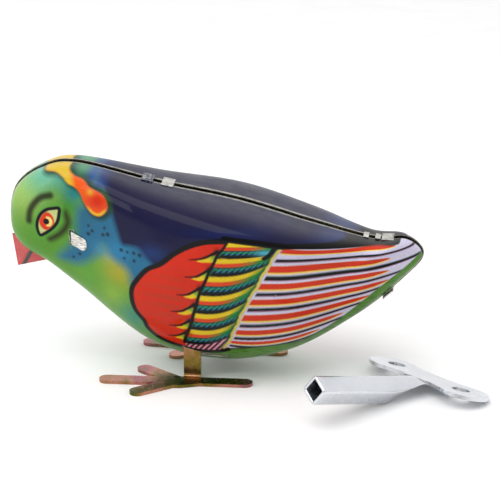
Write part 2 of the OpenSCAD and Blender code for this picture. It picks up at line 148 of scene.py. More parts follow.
def even_rows(k, rows, grow):
    """Row values that lie at equal steps of length over the sheet."""
    fine = np.sin(np.pi / 2 * np.linspace(0, 1, 240))[:, None] * np.ones(len(k))
    p = half_surface(k, fine, 0, grow)
    step = np.linalg.norm(np.diff(p, axis=0), axis=2)
    run = np.vstack([np.zeros(len(k)), np.cumsum(step, 0)])
    want = np.linspace(0, 1, rows + 1)[1:]
    return np.stack([np.interp(want * run[-1, c], run[:, c], fine[:, c]) for c in range(len(k))], 1)


def grid_faces(rows, n, first):
    """Quads between closed rows of n points, the first point being number first."""
    r, c = np.meshgrid(np.arange(rows - 1), np.arange(n), indexing="ij")
    a = first + (r * n + c).ravel()
    b = first + (r * n + (c + 1) % n).ravel()
    return np.stack([a, b, b + n, a + n], 1).tolist()


def spine_caps(k, first):
    """Quads across the spine between the back and belly columns, and over the round ends."""
    n = len(k)
    i4, i8, i12 = (int(np.argmax(k >= v)) for v in (4, 8, 12))
    faces = [(j + 1, j, (i12 - j) % n, i12 - j - 1) for j in range(i4)]
    for line in (list(range(i4, i8 + 1)), list(range(i12, n)) + [0]):
        while len(line) > 3:
            faces.append((line[1], line[0], line[-1], line[-2]))
            line = line[1:-1]
        if len(line) == 3:
            faces.append((line[1], line[0], line[2]))
    return [tuple(first + i for i in f) for f in faces]


def seam_wall(outer_ring, inner_ring):
    """Edge of the sheet along the seam; the outside has SKIP points for each one inside."""
    faces = []
    n = len(outer_ring)
    for i in range(len(inner_ring)):
        fine = [outer_ring[(i * SKIP + j) % n] for j in range(SKIP + 1)]
        faces.append(tuple(fine[::-1] + [inner_ring[i], inner_ring[(i + 1) % len(inner_ring)]]))
    return faces


def shell_mesh(name, side):
    """One half of the body as a closed sheet of tinplate. side is -1 for left, +1 for right."""
    grow = RIGHT_PROUD if side > 0 else 0
    k = columns()
    outer = half_surface(k, even_rows(k, ROWS_OUT, grow), 0, grow)
    k_in = k[::SKIP]
    inner = half_surface(k_in, even_rows(k_in, ROWS_IN, grow), TIN, grow)
    n, n_in = len(k), len(k_in)
    total = ROWS_OUT * n
    points = np.concatenate([outer.reshape(-1, 3), inner.reshape(-1, 3)])
    skin = grid_faces(ROWS_OUT, n, 0) + spine_caps(k, 0)
    lining = [f[::-1] for f in grid_faces(ROWS_IN, n_in, total) + spine_caps(k_in, total)]
    ring = [total - n + i for i in range(n)]
    ring_in = [len(points) - n_in + i for i in range(n_in)]
    walls = seam_wall(ring, ring_in)
    # The seam walls take the third material, the edge tin darkened as painted shade.
    finish = [0] * len(skin) + [1] * len(lining) + [2] * len(walls)
    faces = skin + lining + walls
    spread = points.copy()
    spread[:, 1] *= side
    if side > 0:
        faces = [tuple(f[::-1]) for f in faces]
    mesh = build_mesh(name, spread, faces)
    mesh.polygons.foreach_set("material_index", np.array(finish, np.int32))
    paint(mesh, points, total, side)
    return mesh


def build_mesh(name, points, faces):
    """Mesh from points in the bird's millimetres, kept within the CAD's box."""
    mesh = bpy.data.meshes.new(name)
    places = np.clip(points * MM + SHIFT, cad_box[0], cad_box[1])
    mesh.from_pydata(places.tolist(), [], faces)
    mesh.polygons.foreach_set("use_smooth", np.ones(len(mesh.polygons), bool))
    mesh.update()
    return mesh


def cutter_box(low, high):
    """Block between two corners, for cutting."""
    bpy.ops.mesh.primitive_cube_add(size=1)
    obj = bpy.context.object
    low, high = np.array(low, float), np.array(high, float)
    obj.location = (low + high) / 2 * MM + SHIFT
    obj.scale = (high - low) * MM
    return obj


def cutters(side):
    """Solids that cut the leg slot, the cheek slit and, on the right, the winding hole."""
    out = []
    for low, high in (LEG_SLOT, CHEEK_SLIT):
        y = sorted((side * low[1], side * high[1]))
        out.append(cutter_box((low[0], y[0], low[2]), (high[0], y[1], high[2])))
    if side > 0:
        bpy.ops.mesh.primitive_cylinder_add(vertices=96, radius=WINDING_HOLE_R * MM, depth=14 * MM)
        drill = bpy.context.object
        drill.rotation_euler = (math.pi / 2, 0, 0)
        drill.location = np.array([ARBOR[0], 23, ARBOR[1]]) * MM + SHIFT
        out.append(drill)
    return out


def cut_out(obj, side):
    """Cuts the openings into the finished sheet."""
    tools = cutters(side)
    for tool in tools:
        # The cut faces take the sheet's third material, the edge tin darkened as painted shade.
        tool.data.materials.append(obj.data.materials[2])
        mod = obj.modifiers.new("cut", "BOOLEAN")
        mod.operation = "DIFFERENCE"
        mod.solver = "EXACT"
        mod.material_mode = "TRANSFER"
        mod.object = tool
    bpy.context.view_layer.update()
    cut = bpy.data.meshes.new_from_object(obj.evaluated_get(bpy.context.evaluated_depsgraph_get()))
    obj.modifiers.clear()
    cut.name = obj.name
    obj.data = cut
    for tool in tools:
        bpy.data.objects.remove(tool)
    cut.set_sharp_from_angle(angle=SHARP)


# ---------- the printed picture, in millimetres of the side view ----------

def linear(rgb):
    """Linear light from a colour of 0 to 255."""
    c = np.array(rgb, float) / 255
    return np.where(c <= 0.04045, c / 12.92, ((c + 0.055) / 1.055) ** 2.4)


def curve(points, closed=False, steps=6):
    """Smooth line through given points."""
    p = np.array(points, float)
    n = len(p)
    out = []
    for i in range(n if closed else n - 1):
        if closed:
            a, b, c, d = p[i - 1], p[i], p[(i + 1) % n], p[(i + 2) % n]
        else:
            a, b, c, d = p[max(0, i - 1)], p[i], p[i + 1], p[min(n - 1, i + 2)]
        out += [spline(a, b, c, d, j / steps) for j in range(steps)]
    if not closed:
        out.append(p[-1])
    return np.array(out)


def clip(v):
    """Limits a value to 0 and 1."""
    return np.clip(v, 0, 1)


def across(z, line):
    """x of a line that runs from the top down, at heights z."""
    return np.interp(z, [p[1] for p in line[::-1]], [p[0] for p in line[::-1]])


class Picture:
    """Layers of ink laid over points of the sheet."""

    def __init__(self, x, z, ground):
        self.x, self.z = x, z
        self.ink = np.tile(linear(ground), (len(x), 1))

    def near(self, low, high):
        """Marks the points inside a box."""
        return (self.x > low[0]) & (self.x < high[0]) & (self.z > low[1]) & (self.z < high[1])

    def distance(self, line, closed=False, reach=6):
        """Distance to a line and share of its length, far points left at a large value."""
        far = np.full(len(self.x), 99.0)
        share = np.zeros(len(self.x))
        hit = np.nonzero(self.near(line.min(0) - reach, line.max(0) + reach))[0]
        px, pz = self.x[hit], self.z[hit]
        best = np.full(len(hit), 99.0)
        at = np.zeros(len(hit))
        n = len(line)
        for i in range(n if closed else n - 1):
            a, b = line[i], line[(i + 1) % n]
            d = b - a
            t = clip(((px - a[0]) * d[0] + (pz - a[1]) * d[1]) / max(d @ d, 1e-9))
            dist = np.hypot(px - a[0] - t * d[0], pz - a[1] - t * d[1])
            less = dist < best
            best[less] = dist[less]
            at[less] = (i + t[less]) / n
        far[hit] = best
        share[hit] = at
        return far, share

    def signed(self, line):
        """Distance to a closed line, negative inside."""
        d, _ = self.distance(line, True)
        hit = np.nonzero(self.near(line.min(0), line.max(0)))[0]
        px, pz = self.x[hit], self.z[hit]
        inside = np.zeros(len(hit), bool)
        for i in range(len(line)):
            a, b = line[i], line[(i + 1) % len(line)]
            if a[1] == b[1]:
                continue
            cross = (a[1] > pz) != (b[1] > pz)
            inside ^= cross & (px < (b[0] - a[0]) * (pz - a[1]) / (b[1] - a[1]) + a[0])
        d[hit[inside]] *= -1
        far_inside = np.zeros(len(d), bool)
        far_inside[hit[inside]] = True
        return np.where(far_inside & (d < -90), -99, d)

    def lay(self, rgb, alpha):
        """Covers the picture with an ink, alpha being how much of it each point gets."""
        a = clip(alpha)[:, None]
        self.ink = self.ink * (1 - a) + linear(rgb) * a

    def shape(self, points, rgb, soft=0.3, grow=0.0, strength=1.0):
        """Fills a closed outline, and gives back the distance to it."""
        d = self.signed(curve(points, True))
        self.lay(rgb, strength * clip(0.5 - (d - grow) / soft))
        return d

    def stroke(self, points, rgb, wide, soft=0.3, end=None, strength=1.0):
        """A line of the pen; end is its width at the last point."""
        d, share = self.distance(curve(points))
        w = wide if end is None else wide + (end - wide) * share
        self.lay(rgb, strength * clip(0.5 - (d - w / 2) / soft))

    def blob(self, at, r, rgb, strength=1.0, flat=1.0):
        """A soft round patch; flat makes it lower than it is wide."""
        d = np.hypot(self.x - at[0], (self.z - at[1]) / flat) / r
        self.lay(rgb, strength * np.exp(-d**2 * 1.2))


BLACK = (8, 8, 9)
NAVY = (21, 20, 56)
RED = (206, 40, 14)
YELLOW = (222, 190, 30)
LAVENDER = (206, 202, 226)

# Lines of the wing: between shoulder and coverts, between coverts and tail feathers, round the
# shoulder, and along the top.
DIVIDER = [(12.6, 52.2), (11.3, 50), (9.6, 48), (8.5, 45.5), (6.8, 42), (5.4, 38.5), (3.6, 34.6),
           (2.6, 31.5), (1.8, 28.6), (0.8, 25.5), (0, 22.5), (-1, 19.6), (-2.2, 16.8), (-3.4, 13)]
DIAGONAL = [(28.6, 49.4), (25.2, 44), (21.9, 37.6), (18.5, 31), (15.2, 23.8), (12.4, 17), (9.6, 11.6)]
SHOULDER = [(12, 52.4), (6.3, 52), (0.8, 50.2), (-4.3, 47), (-8.9, 42.8), (-13.5, 40.1), (-16.8, 36.4),
            (-19.5, 32), (-20, 27.3), (-19, 23), (-16.6, 19.4), (-15.6, 16.4), (-13, 13.6), (-9.1, 11.6),
            (-5, 10.6), (0, 9.5), (7.4, 10), (11.2, 11.4)]
BORDER = [(11.5, 53.2), (20, 52), (29.5, 50.4), (35, 50), (47, 48.6), (55.5, 48), (61.4, 48), (64.5, 48.3)]


def paint_ground(pic):
    """Greens of the head, the breast and the belly."""
    pic.blob((-57, 60), 9, (156, 192, 92))
    pic.blob((-49, 68), 10, (112, 188, 160), flat=0.75)
    pic.blob((-41, 67), 6, (70, 150, 140), 0.7)
    pic.blob((-50, 43), 11, (84, 146, 44), 0.9)
    pic.blob((-41, 57), 5, (62, 132, 26), 0.9)
    pic.blob((-46, 60.5), 3.5, (110, 160, 40), 0.6)
    pic.blob((-39, 62), 3.6, (22, 122, 126), 0.95)
    pic.blob((-38.5, 50), 4.5, (58, 128, 40), 0.7)
    pic.blob((-31, 34), 9, (92, 158, 54), 0.8)
    pic.blob((-24, 37), 6.5, (166, 160, 46), 0.95)
    pic.blob((-27, 42), 3, (166, 170, 60), 0.8)
    pic.blob((-27, 27), 5, (150, 186, 62), 0.6)
    pic.blob((-20, 20), 6, (58, 140, 120), 0.9)
    pic.blob((-14, 12), 6, (70, 140, 60), 0.7)
    # Darker olive green with streaks from x = -12 towards the tail, over the belly: the streaks are print,
    # and the darker green is partly the print's olive and partly painted shade under the belly.
    streaks = np.sin(pic.x * 0.9 + 3 * np.sin(pic.z * 0.8)) * np.sin(pic.x * 0.31 + pic.z * 2.4)
    pic.lay((78, 126, 40), clip((pic.x + 12) / 10) * 0.8)
    pic.lay((46, 96, 20), clip(streaks) * 0.7 * clip((pic.x + 12) / 8))


def paint_neck(pic):
    """Blue of the cheek and the nape, the navy back and the spots."""
    cheek = [(-45.6, 39), (-42.8, 37.4), (-38.8, 37), (-34.6, 39), (-31.4, 42.2), (-28.9, 45.6),
             (-26.2, 42.2), (-22, 39.2), (-20.4, 36.6), (-19.6, 33), (-14, 36), (-8, 44), (-8, 52),
             (-22, 58), (-31, 59), (-37, 57.5), (-38.4, 53), (-38.6, 48), (-41, 44)]
    pic.shape(cheek, (38, 104, 138), soft=4)
    pic.blob((-34, 55), 3, (40, 96, 116), 0.7)
    pic.blob((-24, 45), 4, (44, 126, 170), 0.8)
    pic.blob((-30, 44), 3, (64, 134, 168), 0.7)
    back = [(-33.6, 72), (-31.6, 66.8), (-29, 64), (-26.8, 60.6), (-25.6, 56.6), (-24, 52), (-22.4, 47.6),
            (-19.6, 47.4), (-16.4, 46.8), (-13, 43), (-9, 41), (2, 47), (12, 51.5), (30, 49.6), (62, 47),
            (70, 50), (60, 60), (20, 70), (-10, 76)]
    pic.shape(back, NAVY, soft=2)
    pic.blob((-12, 46), 5, (20, 60, 120), 0.6, flat=0.6)
    pic.blob((48, 50.6), 9, (38, 56, 112), 0.75, flat=0.25)
    pic.blob((12, 54.4), 14, (26, 40, 96), 0.5, flat=0.12)
    pic.blob((-33.5, 67), 2.8, (48, 82, 146), 0.95)
    pic.blob((-30.6, 65), 2.4, (46, 76, 140), 0.9)
    spots = [(-34.1, 51.8), (-32.8, 50.2), (-34.2, 49), (-28.4, 52), (-29, 49.6), (-27.3, 50),
             (-40.2, 39.4), (-37.8, 41), (-22.7, 45.4), (-20.6, 45), (-18.4, 45), (-16.4, 44.6),
             (-21.8, 42.6), (-18.4, 42.2)]
    for i, (sx, sz) in enumerate(spots):
        d = np.hypot(pic.x - sx, pic.z - sz)
        pic.lay((24, 36, 42), 0.85 * clip((0.72 + 0.1 * (i % 3) - d) / 0.45))


def paint_band(pic):
    """Yellow and red band on the nape, with its dark edge."""
    line = [(-50.5, 69.6), (-49.8, 67.8), (-45.6, 67.9), (-43, 66.8), (-41, 64.8), (-38.6, 63.8),
            (-36.8, 62), (-35.6, 59.5), (-34.2, 57.4), (-32.4, 55.8), (-30, 55.6), (-27.9, 57.3),
            (-27.3, 59.4), (-28.4, 61.8), (-30, 63), (-32.5, 63.9), (-34, 64.6), (-35, 65.6),
            (-36.4, 66.5), (-39, 67.2), (-41, 68.4), (-43.5, 70.5)]
    shifted = [(x + 0.9, z - 0.1) for x, z in line]
    pic.shape(shifted, (24, 52, 22), soft=1.6, grow=1.1, strength=0.85)
    d = pic.shape(line, (236, 92, 28), soft=0.5)
    inside = clip(0.5 - d / 0.5)
    centre = ((pic.x + 31) / 4) ** 2 + ((pic.z - 60.2) / 3.2) ** 2
    pic.lay((206, 40, 8), inside * np.exp(-centre))
    pic.lay((222, 186, 46), inside * clip((0.3 * (67 - pic.z) - 38.9 - pic.x) / 2.2))
    rim = clip(1 - np.abs(d + 0.5) / 0.7) * clip((58.6 - pic.z) / 1.6)
    pic.lay((222, 188, 40), rim)
    fleck = ((pic.x + 33.4) / 1.2) ** 2 + (pic.z - 62.8) ** 2
    pic.lay((222, 180, 50), inside * 0.7 * np.exp(-fleck))


def paint_eye(pic):
    """Almond eye, with the shadows above and below."""
    brow = [(-47, 60.6), (-50.2, 59.6), (-52.8, 57), (-54.3, 54.2), (-54.7, 51.2)]
    pic.stroke(brow, (38, 42, 16), 2.3, 1.3, strength=0.95)
    hollow = [(-42.2, 55), (-41.3, 52.4), (-42.2, 49.9), (-44.7, 47.2), (-47.7, 45.4)]
    pic.stroke(hollow, (44, 50, 18), 2.3, 1.8, strength=0.95)
    almond = [(-44, 56.6), (-44, 54.2), (-44.8, 51.4), (-46.8, 49), (-49.2, 47.1), (-51.1, 46.2),
              (-52, 48.2), (-52, 51), (-50.8, 53.8), (-48.6, 55.8), (-46.3, 56.5)]
    pic.shape(almond, (86, 160, 60), soft=1.6, grow=1.2, strength=0.6)
    pic.shape(almond, BLACK, grow=0.35)
    pic.shape(almond, (196, 204, 130), grow=-0.8)
    lens = clip(0.5 - (pic.signed(curve(almond, True)) + 0.8) / 0.3)
    iris = np.hypot((pic.x + 48.5) / 2.8, (pic.z - 51.7) / 3.4)
    pic.lay((216, 56, 26), lens * clip((1 - iris) * 8))
    ring = np.hypot((pic.x + 48.1) / 1.75, (pic.z - 51.6) / 1.9)
    pic.lay((236, 214, 120), clip((1 - ring) * 6) * clip((pic.x + 48.9) * 2))
    pupil = np.hypot(pic.x + 48.6, pic.z - 51.6)
    pic.lay(BLACK, clip((1.15 - pupil) * 4))


# Heights of the nine black lines of the tail at six places along it, where each red stripe ends,
# and the top of the green belly.
STRIPE_X = [10, 22, 34.8, 47, 62.4, 72]
STRIPE_Z = [
    [54, 51.6, 49.4, 48, 47.7, 49],
    [47, 46.2, 44.8, 44.5, 45.6, 47.4],
    [41, 40, 38.3, 39.1, 41.2, 43.8],
    [34.4, 33.8, 33.3, 34.4, 37.4, 41],
    [28.6, 28.1, 28, 30, 33.6, 38.4],
    [22.4, 21.9, 21.8, 26.2, 30.6, 36],
    [17, 16.6, 16.8, 22.9, 28, 34],
    [13.6, 13.2, 13, 20.4, 26, 32],
    [9.6, 9.6, 9.6, 17.4, 23, 29],
]
STRIPE_ENDS = [64, 62.4, 62, 62, 56.4, 47.5, 40, 34]
GREEN_TOP = [(8, 11.6), (21.4, 12.4), (28, 13), (34, 13.4), (42, 18), (46.6, 21.4), (50.5, 25), (57, 31),
             (64, 37), (69, 41.4), (74, 46)]


def stripe_height(x, row):
    """Smooth curve through one row of STRIPE_Z."""
    return np.polyval(np.polyfit(STRIPE_X, row, 3), x)


def stripe_index(pic):
    """Runs from 0 at the top border, by 1 at each black line."""
    levels = [stripe_height(pic.x, row) for row in STRIPE_Z]
    v = np.full(len(pic.x), -1.0)
    for j in range(len(levels) - 1):
        top, low = levels[j], levels[j + 1]
        hit = (pic.z <= top) & (pic.z > low)
        v[hit] = (j + (top - pic.z) / (top - low))[hit]
    v[pic.z <= levels[-1]] = len(levels)
    return v


def band(v, centre, half, soft):
    """1 where v is within half of the centre, with soft edges."""
    return clip(0.5 - (np.abs(v - centre) - half) / soft)


def paint_tail(pic):
    """Lavender tail feathers with red and black stripes."""
    low = np.interp(pic.x, [p[0] for p in GREEN_TOP], [p[1] for p in GREEN_TOP])
    top = stripe_height(pic.x, STRIPE_Z[0])
    right = pic.x - across(pic.z, DIAGONAL)
    area = clip(right / 0.3) * clip((pic.z - low) / 0.3) * clip((top + 0.3 - pic.z) / 0.3)
    pic.lay(LAVENDER, area)
    v = stripe_index(pic)
    for j, end in enumerate(STRIPE_ENDS):
        short = clip((end - pic.x) / 5) ** 0.5
        half = (0.2 if j else 0.19) * short
        at = j + 0.5 if j else 0.26
        there = area * clip((right - 0.6) / 0.4)
        pic.lay((232, 206, 90), there * band(v, at + 0.05, half + 0.03 * short, 0.06))
        pic.lay((206, 52, 26), there * band(v, at, half - 0.015, 0.06))
        pic.lay((222, 168, 200), there * band(v, j + 0.86, 0.04, 0.05) * 0.5)
    for j in range(1, 9):
        there = area * clip((right - 0.9) / 0.4)
        half = 0.085 if j != 2 else 0.11
        half = half * (1 if j < 6 else 1.25)
        pic.lay((128, 60, 84), there * band(v, j + 0.06, half, 0.06) * 0.8)
        pic.lay((50, 108, 112), there * band(v, j - 0.05, half, 0.06) * 0.8)
        pic.lay(BLACK, there * band(v, j, half - 0.01, 0.05))
    edge = clip(1 - np.abs(pic.z - low) / 0.5) * clip((50 - pic.x) / 10) * clip(right)
    pic.lay((22, 52, 44), edge)


# Height of each row of coverts at the divider, and how far it rises to the diagonal.
ROWS = [(57, 0), (51.3, -0.4), (45.7, 1.8), (39.3, 4.4), (32, 5.2), (25, 5.5), (18, 4.6), (11.2, 5.4),
        (5, 5)]


def paint_coverts(pic):
    """Curved rows of dashes, yellow and red between the divider and the diagonal."""
    divider = across(pic.z, DIVIDER)
    diagonal = across(pic.z, DIAGONAL)
    s = np.clip((pic.x - divider) / (diagonal - divider), -0.2, 1.3)
    bend = 1.1 * np.clip(s, 0, 1.3) ** 3 - 0.1 * s
    top = np.interp(pic.x, STRIPE_X, STRIPE_Z[0])
    low = np.interp(pic.x, [-6, 0, 7.4, 12], [11, 9.8, 10.2, 11.8])
    area = clip((pic.x - divider) / 0.3) * clip((diagonal - pic.x) / 0.3)
    area = area * clip((pic.z - low) / 0.3) * clip((top + 0.5 - pic.z) / 0.3)
    levels = [z + rise * bend for z, rise in ROWS]
    q = np.zeros(len(pic.x))
    row = np.zeros(len(pic.x))
    gap = np.full(len(pic.x), 6.0)
    for j in range(len(levels) - 1):
        hit = (pic.z <= levels[j]) & (pic.z > levels[j + 1])
        q[hit] = ((levels[j] - pic.z) / (levels[j] - levels[j + 1]))[hit]
        row[hit] = j
        gap[hit] = (levels[j] - levels[j + 1])[hit]
    pic.lay((34, 128, 50), area)
    near_right = clip((s - 0.45) / 0.35)
    near_left = 1 - near_right
    soft = 0.05
    pic.lay((214, 66, 30), area * near_left * band(q, 0.22, 0.11, soft))
    pic.lay((18, 34, 20), area * band(q, 0.37, 0.035, soft) * (1 - 0.6 * near_right))
    hatch_area = area * band(q, 0.55, 0.16, soft) * clip((s - 0.03) / 0.04)
    pic.lay((34, 122, 150), hatch_area)
    lean = pic.x + 1.1 * (q - 0.5) * gap + 0.9 * row
    dash = np.abs(((lean / 1.8) % 1) - 0.5)
    pic.lay((10, 18, 20), hatch_area * clip((dash - 0.19) / 0.12))
    pic.lay((10, 18, 20), hatch_area * band(q, 0.66, 0.05, 0.06))
    pic.lay((40, 150, 60), area * band(q, 0.46, 0.03, 0.06) * 0.7)
    pic.lay(BLACK, area * band(q, 0.765, 0.085 - 0.03 * near_right, soft))
    pic.lay((206, 170, 40), area * band(q, 0.875, 0.03, soft))
    yellow = band(q, 1, 0.115, soft) + band(q, 0, 0.115, soft)
    pic.lay(YELLOW, area * yellow * (1 - 0.85 * clip((s - 0.72) / 0.2)))
    pink = area * clip((levels[7] + 1.5 - pic.z) / 0.4)
    pic.lay((224, 150, 170), pink)
    pic.lay(BLACK, pink * clip((np.abs((((pic.x - 0.8 * pic.z) / 1.7) % 1) - 0.5) - 0.22) / 0.08))
    pic.lay(BLACK, area * clip(1 - np.abs(levels[7] + 1.5 - pic.z) / 0.5))
    pic.blob((24.5, 48.4), 3.4, (90, 190, 214), 0.75, flat=0.3)


def paint_shoulder(pic):
    """Red shoulder of the wing, with barbs that cross the divider."""
    line = curve(SHOULDER + [(9.6, 11.6)] + [(x, z) for x, z in DIVIDER[::-1]], True, 5)
    area = clip(0.5 - pic.signed(line) / 0.3)
    area = area * (pic.x < across(pic.z, DIVIDER) + 0.3)
    pic.lay(RED, area)
    wash = clip(np.sin(pic.z * 1.7 + 0.6 * np.sin(pic.x * 0.2)) * 0.5 + 0.5)
    middle_share = np.exp(-(((pic.x + 7) / 9) ** 2 + ((pic.z - 30) / 11) ** 2))
    pic.lay((178, 54, 30), area * wash * middle_share * 0.75)
    barbs = [((0.5, 45.7), (4.9, 46.6), (9.4, 48.9)), ((-1.4, 39.4), (2.6, 40), (7, 42.9)),
             ((-4.4, 32.3), (-0.7, 33), (3.5, 35.8)), ((-6.9, 25.4), (-3, 26.3), (1.4, 29.4)),
             ((-7.9, 19.5), (-4.2, 20.2), (-0.6, 22.8)), ((-8.8, 14.8), (-5.4, 15.6), (-2.2, 17.6))]
    for tip, mid, root in barbs:
        under = [(tip[0] + 2.6, tip[1] - 0.3), (mid[0] + 1, mid[1] - 0.8), (root[0] - 1.4, root[1] - 2.5)]
        pic.stroke(under, YELLOW, 0.3, end=2.4)
        pic.blob((root[0] - 1.2, root[1] - 2.1), 1.1, (60, 160, 50), 0.9)
        pic.stroke([tip, mid, root], BLACK, 0.35, end=1.3)
        pic.blob((root[0] + 0.2, root[1]), 1.3, BLACK, 0.95)


def paint_outlines(pic):
    """Black lines round the wing."""
    pic.stroke(DIVIDER, BLACK, 0.9, end=1.3)
    wavy = [(x + 0.2 * math.sin(0.9 * z) + 0.12 * math.sin(2.3 * z), z) for x, z in curve(DIAGONAL)]
    pic.stroke([(x - 0.5, z) for x, z in wavy], (30, 84, 46), 1.6, soft=0.8, strength=0.7)
    pic.stroke(wavy, (214, 190, 84), 0.75)
    pic.stroke([(27, 49.9), (25.4, 47.6), (23.8, 46.4)], BLACK, 1.5)
    pic.stroke([(x - 0.3, z) for x, z in SHOULDER], BLACK, 1.7)
    pic.stroke(BORDER, BLACK, 1.6)
    pic.stroke(BORDER[:3], BLACK, 1.9)


def paint(mesh, points, total, side):
    """Stores the picture on the sheet, with the worn metal along its edge, for every point."""
    low = clip((49 - points[:, 2]) / 30) * clip((74 - points[:, 0]) / 36)
    pic = Picture(points[:, 0] - 0.45 * low, points[:, 2] - 1.2 * low, (96, 152, 52))
    paint_ground(pic)
    paint_neck(pic)
    paint_band(pic)
    paint_tail(pic)
    paint_coverts(pic)
    paint_shoulder(pic)
    paint_outlines(pic)
    paint_eye(pic)
    n = len(columns())
    k = np.tile(columns(), ROWS_OUT)
    step = ROWS_OUT - 1 - np.arange(total) // n
    upper = clip((k + 1) / 0.5) * clip((8 - k) / 0.5)
    if side > 0:
        dark = clip((6.5 - step) / 1.5) * upper
        pic.ink[:total] *= 1 - 0.93 * dark[:, None]
    bright = clip((1.4 - step) / 0.8)
    values = np.concatenate([clip(pic.ink), np.zeros((len(points), 1))], 1)
    values[:total, 3] = bright
    store = mesh.color_attributes.new("picture", "FLOAT_COLOR", "POINT")
    store.data.foreach_set("color", values.ravel().astype(np.float32))


# ---------- materials ----------

class Nodes:
    """Short way to wire shader nodes."""

    def __init__(self, name):
        self.material = bpy.data.materials.new(name)
        self.material.use_nodes = True
        self.tree = self.material.node_tree
        self.shader = self.tree.nodes["Principled BSDF"]
        self.place = self.add("ShaderNodeTexCoord").outputs["Object"]

    def add(self, kind, **values):
        node = self.tree.nodes.new(kind)
        for key, value in values.items():
            setattr(node, key, value)
        return node

    def link(self, a, b):
        self.tree.links.new(a, b)

    def noise(self, scale, detail=4.0, stretch=None, roughness=0.55):
        node = self.add("ShaderNodeTexNoise")
        node.inputs["Scale"].default_value = scale
        node.inputs["Detail"].default_value = detail
        node.inputs["Roughness"].default_value = roughness
        source = self.place
        if stretch:
            mapping = self.add("ShaderNodeMapping")
            mapping.inputs["Scale"].default_value = stretch
            self.link(self.place, mapping.inputs["Vector"])
            source = mapping.outputs["Vector"]
        self.link(source, node.inputs["Vector"])
        return node.outputs["Fac"]

    def ramp(self, fac, stops):
        node = self.add("ShaderNodeValToRGB")
        points = node.color_ramp.elements
        while len(points) < len(stops):
            points.new(0.5)
        for point, (at, rgb) in zip(points, stops):
            point.position = at
            point.color = (*rgb, 1) if len(rgb) == 3 else rgb
        self.link(fac, node.inputs["Fac"])
        return node.outputs["Color"]

    def math(self, kind, *values):
        node = self.add("ShaderNodeMath", operation=kind)
        for socket, value in zip(node.inputs, values):
            if isinstance(value, (int, float)):
                socket.default_value = float(value)
            else:
                self.link(value, socket)
        return node.outputs[0]

    def grey(self, fac, low, high, a=0.35, b=0.65):
        return self.ramp(fac, [(a, (low,) * 3), (b, (high,) * 3)])

    def mix(self, kind, fac, a, b):
        node = self.add("ShaderNodeMix", data_type="RGBA", blend_type=kind)
        for socket, value in ((node.inputs["Factor"], fac), (node.inputs["A"], a), (node.inputs["B"], b)):
            if isinstance(value, (int, float)):
                socket.default_value = value
            elif isinstance(value, tuple):
                socket.default_value = (*value, 1)
            else:
                self.link(value, socket)
        return node.outputs["Result"]

    def bump(self, height, strength, distance):
        node = self.add("ShaderNodeBump")
        node.inputs["Strength"].default_value = strength
        node.inputs["Distance"].default_value = distance
        self.link(height, node.inputs["Height"])
        self.link(node.outputs["Normal"], self.shader.inputs["Normal"])
        return node.outputs["Normal"]

    def set(self, **values):
        for key, value in values.items():
            self.shader.inputs[key.replace("_", " ")].default_value = value


# The mouth line on the beak, and where the bare tang starts, in x and z.
MOUTH_SLOPE, MOUTH_AT, MOUTH_HALF = 1.7, (-57.3, 36.2), 1.2
TANG_FROM = (-52.5, 40.5)


def rgb(*c):
    """Linear colour as a tuple, from values of 0 to 255."""
    return tuple(float(v) for v in linear(c))


def printed_tin():
    """Inks under a clear varnish, chipped here and there and worn to the metal along the seam."""
    m = Nodes("printed_tin")
    art = m.add("ShaderNodeVertexColor", layer_name="picture")
    grain = m.grey(m.noise(2600, 2), 0.84, 1.0, 0.3, 0.7)
    cloud = m.grey(m.noise(60, 4), 0.9, 1.0)
    colour = m.mix("MULTIPLY", 1.0, m.mix("MULTIPLY", 1.0, art.outputs["Color"], grain), cloud)
    chips = m.ramp(m.noise(420, 6, roughness=0.7), [(0.745, (0, 0, 0)), (0.755, (1, 1, 1))])
    rubbed = m.ramp(m.noise(500, 4), [(0.3, (0.35, 0.35, 0.35)), (0.55, (1, 1, 1))])
    bare = m.mix("LIGHTEN", 1.0, chips, m.mix("MULTIPLY", 1.0, art.outputs["Alpha"], rubbed))
    m.link(m.mix("MIX", bare, colour, rgb(190, 188, 180)), m.shader.inputs["Base Color"])
    m.link(m.mix("MULTIPLY", 1.0, bare, (0.8, 0.8, 0.8)), m.shader.inputs["Metallic"])
    m.link(m.grey(m.noise(180, 5), 0.3, 0.46), m.shader.inputs["Roughness"])
    m.set(Specular_IOR_Level=0.05, Coat_Weight=0.42, Coat_Roughness=0.04, Coat_IOR=1.36)
    m.bump(m.noise(90, 3), 0.06, 0.0005)
    return m.material


def bare_metal(name, colour, dark, rough=(0.2, 0.4), scale=300, stretch=(1, 1, 1), bump=0.1):
    """Metal that drifts between two tones, with a fine grain."""
    m = Nodes(name)
    tone = m.ramp(m.noise(scale, 6, stretch), [(0.3, dark), (0.7, colour)])
    m.link(tone, m.shader.inputs["Base Color"])
    m.link(m.grey(m.noise(scale * 1.7, 5, stretch), *rough), m.shader.inputs["Roughness"])
    m.set(Metallic=1.0)
    m.bump(m.noise(scale * 3, 4, stretch), bump, 0.0002)
    return m.material


def chromate():
    """Yellow passivated zinc: olive and gold with drifts of pink and green."""
    m = Nodes("zinc_yellow")
    film = m.noise(70, 3, roughness=0.5)
    tone = m.ramp(film, [(0.3, rgb(84, 88, 34)), (0.42, rgb(128, 108, 48)), (0.54, rgb(190, 132, 108)),
                         (0.64, rgb(172, 104, 112)), (0.76, rgb(96, 110, 44))])
    fine = m.grey(m.noise(1600, 3), 0.62, 1.0)
    m.link(m.mix("MULTIPLY", 0.5, tone, fine), m.shader.inputs["Base Color"])
    m.link(m.grey(m.noise(500, 5), 0.14, 0.3), m.shader.inputs["Roughness"])
    m.set(Metallic=1.0)
    m.bump(m.noise(700, 4), 0.05, 0.0002)
    return m.material


